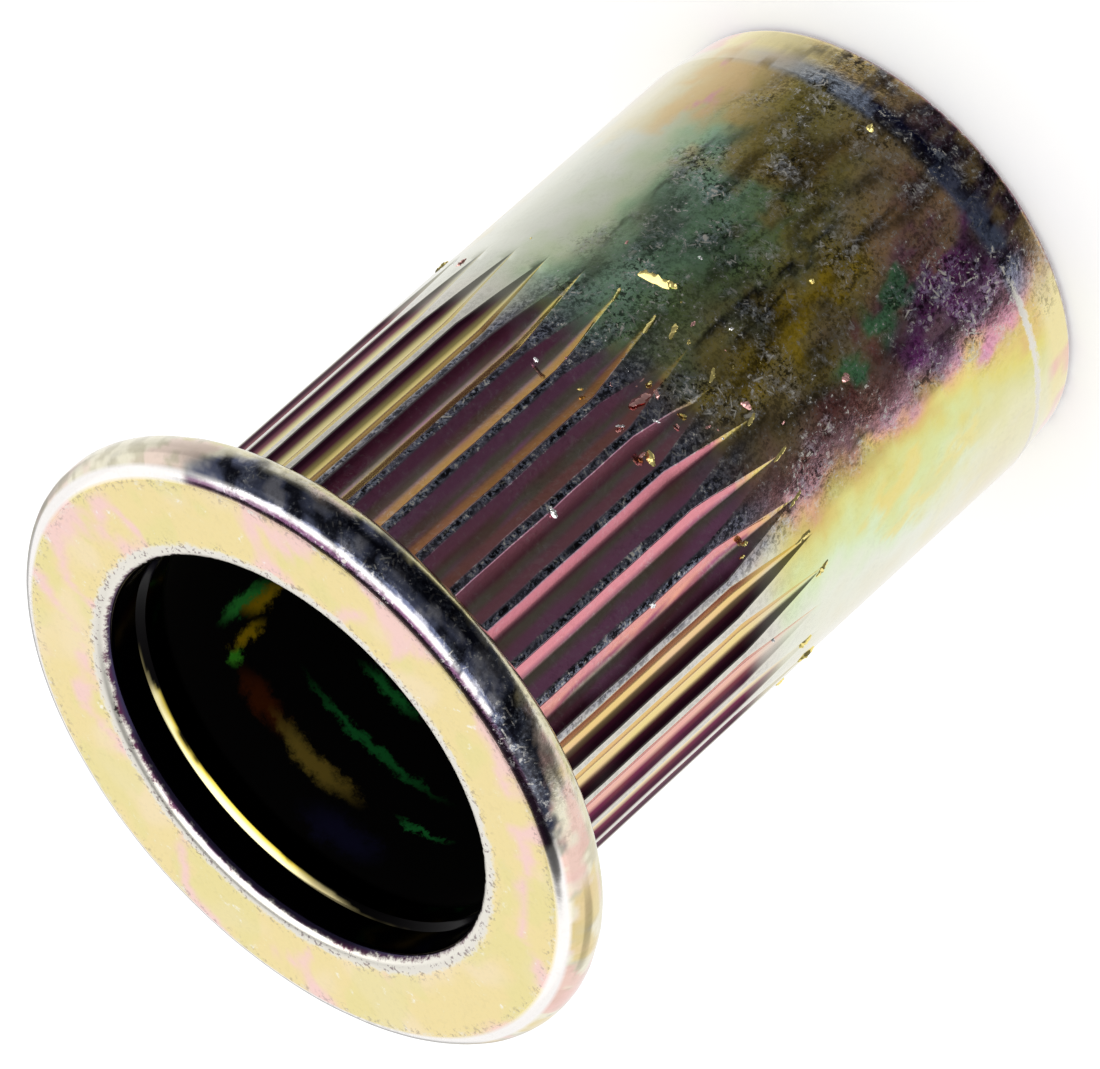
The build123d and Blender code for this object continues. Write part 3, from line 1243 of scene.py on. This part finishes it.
def add_node(
    tree: bpy.types.NodeTree,
    kind: str,
    links: dict | None = None,
    **settings: str | bool,
) -> bpy.types.Node:
    """Adds a node with its settings and links.

    Args:
        tree: The node tree.
        kind: The node's type, without its "ShaderNode" prefix.
        links: For each input, by name or number, what feeds it: a socket, a Value, or the number,
            vector, colour or hex colour that it holds.
        settings: The node's own properties.

    Returns:
        The new node.
    """
    made = tree.nodes.new("ShaderNode" + kind)
    for name, value in settings.items():
        setattr(made, name, value)
    for name, value in (links or {}).items():
        value = value.socket if isinstance(value, Value) else value
        if isinstance(value, Socket):
            tree.links.new(value, made.inputs[name])
        else:
            made.inputs[name].default_value = linear(value) if isinstance(value, str) else value
    return made


class Value:
    """A number that a node graph works out at each place, with the usual arithmetic on it."""

    def __init__(self, socket: Socket) -> None:
        """Takes the output that carries the number."""
        self.socket = socket
        self.tree = socket.id_data

    def step(self, operation: str, *others: "Value | float", clamp: bool = False) -> "Value":
        """Takes one step of arithmetic.

        Args:
            operation: The step, by Blender's name for it.
            others: The other numbers that it needs.
            clamp: Whether the outcome is kept between 0 and 1.

        Returns:
            The outcome.
        """
        links = dict(enumerate((self, *others)))
        made = add_node(self.tree, "Math", links, operation=operation, use_clamp=clamp)
        return Value(made.outputs[0])

    def __add__(self, other: "Value | float") -> "Value":
        """The sum of two numbers."""
        return self.step("ADD", other)

    def __sub__(self, other: "Value | float") -> "Value":
        """The first number less the second."""
        return self.step("SUBTRACT", other)

    def __mul__(self, other: "Value | float") -> "Value":
        """The product of two numbers."""
        return self.step("MULTIPLY", other)

    def __truediv__(self, other: "Value | float") -> "Value":
        """The first number as a share of the second."""
        return self.step("DIVIDE", other)

    def __or__(self, other: "Value | float") -> "Value":
        """The larger of two numbers: where either mark is."""
        return self.step("MAXIMUM", other)

    def ease(self, low: float, high: float) -> "Value":
        """Rises smoothly from 0 to 1, and falls if low is above high.

        Args:
            low: Where it is 0.
            high: Where it is 1.

        Returns:
            The share from 0 to 1.
        """
        links = {"Value": self, "From Min": min(low, high), "From Max": max(low, high)}
        links |= {"To Min": float(low > high), "To Max": float(low < high)}
        made = add_node(self.tree, "MapRange", links, interpolation_type="SMOOTHSTEP")
        return Value(made.outputs["Result"])

    def lay(self, under: Socket | Rgba, over: Socket | Rgba | str) -> Socket:
        """Lays one colour over another, as far as this number says."""
        made = add_node(self.tree, "Mix", {0: self, 6: under, 7: over}, data_type="RGBA")
        return made.outputs[2]


@dataclass(frozen=True)
class Grain:
    """Cloudy grain that is finer than the mesh.

    Args:
        fineness: Clouds in a millimetre.
        detail: Finer octaves that are added to them.
        roughness: Weight of each octave beside the one before.
    """

    fineness: float
    detail: float
    roughness: float

    def at(self, tree: bpy.types.NodeTree, place: Socket) -> Value:
        """Reads the grain.

        Args:
            tree: The finish's node tree.
            place: The place in millimetres.

        Returns:
            The grain there, from 0 to 1.
        """
        links = {"Vector": place, "Scale": self.fineness}
        links |= {"Detail": self.detail, "Roughness": self.roughness}
        return Value(add_node(tree, "TexNoise", links).outputs["Fac"])


@dataclass(frozen=True)
class Scratches:
    """Short straight scratches, one to each cell of a scatter, each turned its own way.

    Args:
        cells: Cells in a millimetre.
        length: Half length of a scratch, as a share of a cell.
        width: Half width of a scratch, in millimetres.
    """

    cells: float
    length: float
    width: float

    def at(self, tree: bpy.types.NodeTree, place: Socket) -> Value:
        """Cuts the scratches.

        A cell's scratch is where a thin slab through the cell's centre, turned by the cell's own
        random normal, cuts the surface within a set distance of that centre.

        Args:
            tree: The finish's node tree.
            place: The place in millimetres.

        Returns:
            1 on a scratch and 0 away from it.
        """
        cell = add_node(tree, "TexVoronoi", {"Vector": place, "Scale": self.cells}, feature="F1").outputs
        links = {0: cell["Color"], 1: (2, 2, 2), 2: (-1, -1, -1)}
        turn = add_node(tree, "VectorMath", links, operation="MULTIPLY_ADD").outputs["Vector"]
        turn = add_node(tree, "VectorMath", {0: turn}, operation="NORMALIZE").outputs["Vector"]
        links = {0: place, 1: cell["Position"]}
        offset = add_node(tree, "VectorMath", links, operation="SUBTRACT").outputs["Vector"]
        slab = add_node(tree, "VectorMath", {0: offset, 1: turn}, operation="DOT_PRODUCT")
        away = Value(slab.outputs["Value"]).step("ABSOLUTE")
        near = Value(cell["Distance"]).ease(self.length, self.length * 0.8)
        return near * away.ease(self.width, self.width * 0.4)


@dataclass(frozen=True)
class YellowZinc:
    """Steel electroplated with zinc and passivated yellow.

    The mesh carries the film's colour, painted light and shade included. The finish adds the marks
    that are finer than the mesh: it is smooth in the rolled grooves and fogged by tumbling on the
    barrel, and bare pale zinc shows along the edges, in scratches and in a speckle on the ribs'
    crests. It also lays painted reflections in the bore.

    Args:
        zinc: Colour of bare zinc, which gives the eye the worn edges.
        fog: Colour of the scuffed film, a blue-grey haze.
        dirt_and_shade: Colour of the pits that hold grime from tumbling, and of the crests' dark specks,
            painted shade in front.
        crest: Colour of the ribs' rubbed crests, laid mostly in front, where it is painted shade.
        chip: Colour of the pale chips on the head's face.
        stain: Colour of the specks round the worn edge of the mouth.
        groove_roughness: Roughness of the rolled grooves, close to a mirror.
        barrel_roughness: Roughness of the barrel, a shade softer.
        crest_roughness: What the crests add to it.
        face_roughness: Roughness of the head's face, which blurs what it reflects.
        worn_roughness: Roughness of the worn edges.
        bore_roughness: Roughness deep in the bore, which gathers light from its mouth.
        scuff_roughness: Roughness of scuffs, which scatter light from all round.
        relief_depth: Depth of the marks, in millimetres.
        deep: Heights between which the bore's mouth gives way to its depth.
        face_level: Heights between which the head's rim gives way to its face.
        fine: Clouds of half a millimetre that break up every mark.
        speckle: Specks of an eighth of a millimetre, the size of tumbling chips' points.
        clusters: Clouds of a millimetre in which the tumbling marks gather.
        gaps: Clouds that leave gaps in the speckle on the crests.
        scratches: Longer and shorter scratches.
        reflection_arcs: Painted reflections in the bore, gold and green on the wall. Their bearings are
            from the back.
    """

    zinc: str = "#ECE8DE"
    fog: str = "#A2ABBC"
    dirt_and_shade: str = "#1E1D22"
    crest: str = "#9096AC"
    chip: str = "#FFFFFF"
    stain: str = "#8C7C7C"
    groove_roughness: float = 0.12
    barrel_roughness: float = 0.125
    crest_roughness: float = 0.22
    face_roughness: float = 0.28
    worn_roughness: float = 0.35
    bore_roughness: float = 0.6
    scuff_roughness: float = 0.62
    relief_depth: float = 0.010
    deep: tuple[float, float] = (18.9, 18.6)
    face_level: tuple[float, float] = (20.482, 20.495)
    fine: Grain = Grain(2.0, 5.0, 0.78)
    speckle: Grain = Grain(7.5, 2.0, 0.8)
    clusters: Grain = Grain(0.85, 2.0, 0.6)
    gaps: Grain = Grain(1.2, 2.0, 0.5)
    scratches: tuple[Scratches, Scratches] = (Scratches(2.6, 0.40, 0.024), Scratches(5.2, 0.42, 0.020))
    reflection_arcs: tuple[FilmPatch, ...] = (
        FilmPatch(14, 17.1, (10, 0.36), "#A04C18", 0.6),
        FilmPatch(-5, 17.05, (15, 0.30), "#E4C458", 0.9),
        FilmPatch(-12, 15.75, (22, 0.16), "#3FC868", 0.9),
        FilmPatch(-5, 14.4, (9, 0.20), "#48D870", 1.0),
        FilmPatch(-38, 16.8, (8, 0.10), "#48D870", 0.9),
        FilmPatch(-24, 18.0, (12, 0.50), "#4A4890", 0.3),
        FilmPatch(38.5, 16.3, (2.6, 0.80), "#62F070", 0.9),
        FilmPatch(28.0, 17.1, (2.8, 0.24), "#7CFF50", 0.9),
        FilmPatch(35.5, 15.8, (2.6, 0.60), "#FFD81C", 1.0),
        FilmPatch(30.5, 16.6, (2.3, 0.55), "#FFD81C", 1.0),
    )

    def _bore_reflections(self, colour: Socket, place: Socket, fine: Value, deep: Value) -> Socket:
        """Lays the painted reflections over the bore's painted shade, each an uneven ellipse on the
        wall.

        Args:
            colour: The film's colour.
            place: The place in millimetres.
            fine: The fine grain, which frays the painted reflections.
            deep: How deep in the bore the place is, from 0 to 1.

        Returns:
            The film's colour with the arcs.
        """
        x, y, z = (Value(out) for out in add_node(fine.tree, "SeparateXYZ", {"Vector": place}).outputs)
        bearing = x.step("ARCTAN2", y) * (180 / math.pi) + (fine - 0.5) * 10.0
        height = z + (fine - 0.5) * 0.9
        for arc in self.reflection_arcs:
            across = (bearing - arc.bearing) / arc.spread[0]
            along = (height - arc.height) / arc.spread[1]
            away = (across * across + along * along).step("SQRT")
            colour = (away.ease(1.3, 0.3) * arc.strength * deep).lay(colour, arc.colour)
        return colour

    def build(self) -> bpy.types.Material:
        """Makes the finish.

        Returns:
            The material, which reads the film and the layers that the mesh carries.
        """
        material = bpy.data.materials.new("yellow_passivated_zinc")
        material.use_nodes = True
        tree = material.node_tree
        tree.nodes.clear()
        coords = add_node(tree, "TexCoord").outputs["Object"]
        place = add_node(tree, "Mapping", {"Vector": coords, "Scale": (1 / MM,) * 3}).outputs["Vector"]
        z = Value(add_node(tree, "SeparateXYZ", {"Vector": place}).outputs["Z"])
        film = add_node(tree, "Attribute", attribute_name="film").outputs["Color"]
        valley, crest, wear, tumbled, bore = (
            Value(add_node(tree, "Attribute", attribute_name=name).outputs["Fac"]) for name in LAYERS
        )
        grains = (self.fine, self.speckle, self.clusters, self.gaps)
        fine, speckle, clusters, gaps = (grain.at(tree, place) for grain in grains)
        face = z.ease(*self.face_level)
        deep = bore * z.ease(*self.deep)
        plain = valley.ease(0.12, 0.02)

        # Tumbling marks gather in patches: haze, specks, pits and short scratches.
        marked = tumbled * (plain * 0.85 + 0.15)
        patch = marked * (clusters.ease(0.45, 0.58) * 0.8 + 0.2)
        rough = fine * 0.55 + speckle
        haze = fine.ease(0.46, 0.58) * patch * speckle.ease(0.30, 0.56)
        pits = rough.ease(0.75, 0.62) * patch
        long, short = (scratches.at(tree, place) for scratches in self.scratches)
        scratch = (long | short) * patch * fine.ease(0.40, 0.52)

        # The crests of the ribs are rubbed to speckled metal, with gaps; in front this grey is painted
        # shade.
        ragged = gaps.ease(0.36, 0.56) * 0.6 + 0.4
        crest = (crest * (fine * 0.8 + 0.7)).step("MULTIPLY", ragged, clamp=True)
        specks = rough.ease(0.88, 1.0) * marked | crest * speckle.ease(0.58, 0.70)

        # Bare zinc lies along the worn edges, broken up by the grain, and in the scratches.
        worn = (wear + (fine * 1.1 - 0.75) + (speckle * 0.5 - 0.25)).ease(0.22, 0.55)
        layers = (
            # The crests' grey and their dark specks, painted shade in front.
            (crest, self.crest),
            (crest * speckle.ease(0.56, 0.46), self.dirt_and_shade),
            (marked * speckle.ease(0.53, 0.40) * 0.45, self.dirt_and_shade),
            (marked * speckle.ease(0.53, 0.66) * 0.35, self.fog),
            (haze * 0.65, self.fog),
            (pits * 0.75, self.dirt_and_shade),
            (face * fine.ease(0.60, 0.70) * 0.7, self.chip),
            (worn | scratch * 0.9 | specks, self.zinc),
            (face * wear * speckle.ease(0.44, 0.36), self.stain),
        )
        colour = self._bore_reflections(film, place, fine, deep)
        for share, coat in layers:
            colour = share.lay(colour, coat)

        softer = self.barrel_roughness - self.groove_roughness
        roughness = crest * self.crest_roughness + (plain * softer + self.groove_roughness)
        roughness = roughness | (specks | scratch | haze) * self.scuff_roughness
        roughness = roughness | worn * self.worn_roughness | deep * self.bore_roughness
        roughness = roughness | face * self.face_roughness

        relief = marked * (fine * 2.5 + speckle) + speckle * (crest * 1.6 + 0.15)
        links = {"Height": relief, "Strength": 0.5, "Distance": self.relief_depth * MM}
        normal = add_node(tree, "Bump", links).outputs["Normal"]

        # Zinc is a metal, so its colour is what it reflects, at the default IOR.
        links = {"Base Color": colour, "Metallic": 1.0, "Roughness": roughness, "Normal": normal}
        shader = add_node(tree, "BsdfPrincipled", links).outputs["BSDF"]
        add_node(tree, "OutputMaterial", {"Surface": shader})
        return material


# ---------------------------------------------------------------------------------------------
# Studio
# ---------------------------------------------------------------------------------------------


@dataclass(frozen=True)
class Band:
    """What polished metal sees of the studio in one band of elevations.

    Args:
        start: Elevation of the band's lower edge, in degrees above the horizon.
        blur: Width of that edge, in degrees.
        levels: Bearings in degrees from the front towards the left, each with the brightness
            there, where 1 is the white of the studio. Between them it changes evenly.
    """

    start: float
    blur: float
    levels: tuple[tuple[float, float], ...]

    def light(self, share: Value) -> Socket | Rgba:
        """The band's light round the studio.

        Args:
            share: Share of a turn, from 0 at the back through 0.5 in front.

        Returns:
            The light as a colour, or as a socket where it changes round the band.
        """
        if len(self.levels) == 1:
            return (self.levels[0][1],) * 3 + (1.0,)
        ramp = add_node(share.tree, "ValToRGB", {"Fac": share})
        elements = ramp.color_ramp.elements
        while len(elements) < len(self.levels):
            elements.new(1.0)
        for element, (bearing, level) in zip(elements, self.levels):
            element.position = bearing / 360 + 0.5
            element.color = (level, level, level, 1.0)
        return ramp.outputs["Color"]


@dataclass(frozen=True)
class Studio:
    """A white studio whose metal sees black flags in front of it and lights above them.

    Args:
        floor_reach: Distance from the nut to the floor's edges, in metres.
        floor_colour: Colour of the floor.
        floor_glow: Light that the floor adds to what the camera sees of it.
        white: Light that the camera and the floor see all round.
        bands: What polished metal sees, from below the horizon upwards.
    """

    floor_reach: float = 3.0
    floor_colour: str = "#F4F4F4"
    floor_glow: float = 0.3
    white: Rgba = (1.0, 1.0, 1.0, 1.0)
    bands: tuple[Band, ...] = (
        Band(-86, 8, (
            (-150, 1.0), (-98, 0.8), (-60, 0.38), (-20, 0.16), (10, 0.09),
            (48, 0.14), (59, 0.4), (68, 0.9), (76, 1.0),
        )),
        Band(-46, 6, (
            (-150, 1.0), (-120, 0.75), (-98, 0.58), (-80, 0.23), (-40, 0.145),
            (50, 0.13), (59, 0.3), (68, 0.9), (76, 1.0),
        )),
        Band(-24, 6, (
            (-160, 0.5), (-140, 1.0), (-110, 0.75), (-85, 0.2), (50, 0.16), (62, 1.0),
            (90, 1.0), (104, 0.6), (118, 0.6), (132, 1.0), (160, 1.0), (168, 0.5),
        )),
        Band(-4, 6, ((-110, 1.0), (-84, 0.2), (50, 0.2), (64, 1.0))),
        Band(26, 6, ((-130, 1.1), (-84, 0.35), (50, 0.35), (70, 1.1))),
        Band(46, 5, (
            (-145, 0.08), (-136, 2.2), (-98, 2.2), (-60, 1.7),
            (10, 1.8), (62, 1.2), (90, 1.2), (112, 0.08),
        )),
        Band(62, 5, ((-155, 0.08), (-146, 2.2), (62, 2.0), (112, 0.08))),
        Band(77, 4, ((-180, 2.2),)),
    )

    def build(self) -> None:
        """Makes the world and the floor."""
        self._make_world()
        self._make_floor()

    def _make_world(self) -> None:
        """White for the camera and the floor. Reflections see the bands."""
        world = bpy.data.worlds.new("studio")
        world.use_nodes = True
        bpy.context.scene.world = world
        tree = world.node_tree
        tree.nodes.clear()
        direction = add_node(tree, "TexCoord").outputs["Generated"]
        x, y, z = (Value(out) for out in add_node(tree, "SeparateXYZ", {"Vector": direction}).outputs)
        elevation = z.step("ARCSINE") * (180 / math.pi)
        share = (x * -1.0).step("ARCTAN2", y * -1.0) * (1 / (2 * math.pi)) + 0.5
        sight = self.white
        for band in self.bands:
            above = elevation.ease(band.start - band.blur / 2, band.start + band.blur / 2)
            sight = above.lay(sight, band.light(share))
        glossy = Value(add_node(tree, "LightPath").outputs["Is Glossy Ray"])
        seen = glossy.lay(self.white, sight)
        background = add_node(tree, "Background", {"Color": seen, "Strength": 1.0})
        add_node(tree, "OutputWorld", {"Surface": background.outputs["Background"]})

    def _make_floor(self) -> None:
        """A plain pale floor that takes the nut's shadow and stays out of its reflections."""
        reach = self.floor_reach
        mesh = bpy.data.meshes.new("floor")
        square = [(-reach, -reach, 0), (reach, -reach, 0), (reach, reach, 0), (-reach, reach, 0)]
        mesh.from_pydata(square, [], [(0, 1, 2, 3)])
        floor = bpy.data.objects.new("floor", mesh)
        bpy.context.scene.collection.objects.link(floor)
        material = bpy.data.materials.new("pale_floor")
        material.use_nodes = True
        tree = material.node_tree
        tree.nodes.clear()
        camera_ray = add_node(tree, "LightPath").outputs["Is Camera Ray"]
        matt = add_node(tree, "BsdfDiffuse", {"Color": self.floor_colour}).outputs["BSDF"]
        glow = add_node(tree, "Emission", {"Strength": self.floor_glow}).outputs["Emission"]
        lit = add_node(tree, "AddShader", {0: matt, 1: glow}).outputs[0]
        shown = add_node(tree, "MixShader", {0: camera_ray, 1: matt, 2: lit}).outputs[0]
        add_node(tree, "OutputMaterial", {"Surface": shown})
        mesh.materials.append(material)
        floor.visible_glossy = False


@dataclass(frozen=True)
class Camera:
    """A long lens that looks down on the head with the nut's axis lying across the frame.

    Args:
        bearing: Angle of the camera round the nut, from the front towards the right.
        elevation: Its angle above the horizon, in degrees.
        roll: Turn about its own view, in degrees.
        distance: Distance from the point it aims at, in millimetres.
        aim_height: Height of that point on the nut's axis, in millimetres.
        aim_side: How far that point lies to the right of the axis, in millimetres.
        lens: Focal length in millimetres.
        sensor: Width of the sensor in millimetres.
    """

    bearing: float = 1.3
    elevation: float = 31.64
    roll: float = -131.94
    distance: float = 296.08
    aim_height: float = 11.67
    aim_side: float = -0.1
    lens: float = 436.5
    sensor: float = 36.0

    def build(self) -> None:
        """Aims the camera at a point by the nut's axis, then rolls it about its own view."""
        data = bpy.data.cameras.new("camera")
        data.lens = self.lens
        data.sensor_width = self.sensor
        data.clip_start = 0.01
        data.clip_end = 10.0
        camera = bpy.data.objects.new("camera", data)
        bpy.context.scene.collection.objects.link(camera)
        a, e = math.radians(self.bearing), math.radians(self.elevation)
        back = Vector((math.sin(a) * math.cos(e), -math.cos(a) * math.cos(e), math.sin(e)))
        aim = Vector((self.aim_side, 0.0, self.aim_height)) * MM
        upright = (-back).to_track_quat("-Z", "Y").to_matrix().to_4x4()
        rolled = upright @ Matrix.Rotation(math.radians(self.roll), 4, "Z")
        camera.matrix_world = Matrix.Translation(aim + back * self.distance * MM) @ rolled
        bpy.context.scene.camera = camera


def main() -> None:
    """Builds the nut, dresses it, and sets up the studio and the camera."""
    logging.basicConfig(level=logging.INFO, format="%(name)s: %(message)s")
    finish = YellowZinc().build()
    for piece in (NutSkin().build(), Burrs().build()):
        piece.data.materials.append(finish)
        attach(piece, "root")
        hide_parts(NODE)
        log.info("%s: %d faces", piece.name, len(piece.data.polygons))
    studio, camera = Studio(), Camera()
    studio.build()
    log.info("studio: %d bands", len(studio.bands))
    camera.build()
    log.info("camera: %.1f mm lens", camera.lens)
    bpy.context.scene.view_settings.view_transform = "Standard"


if __name__ == "__main__":
    main()
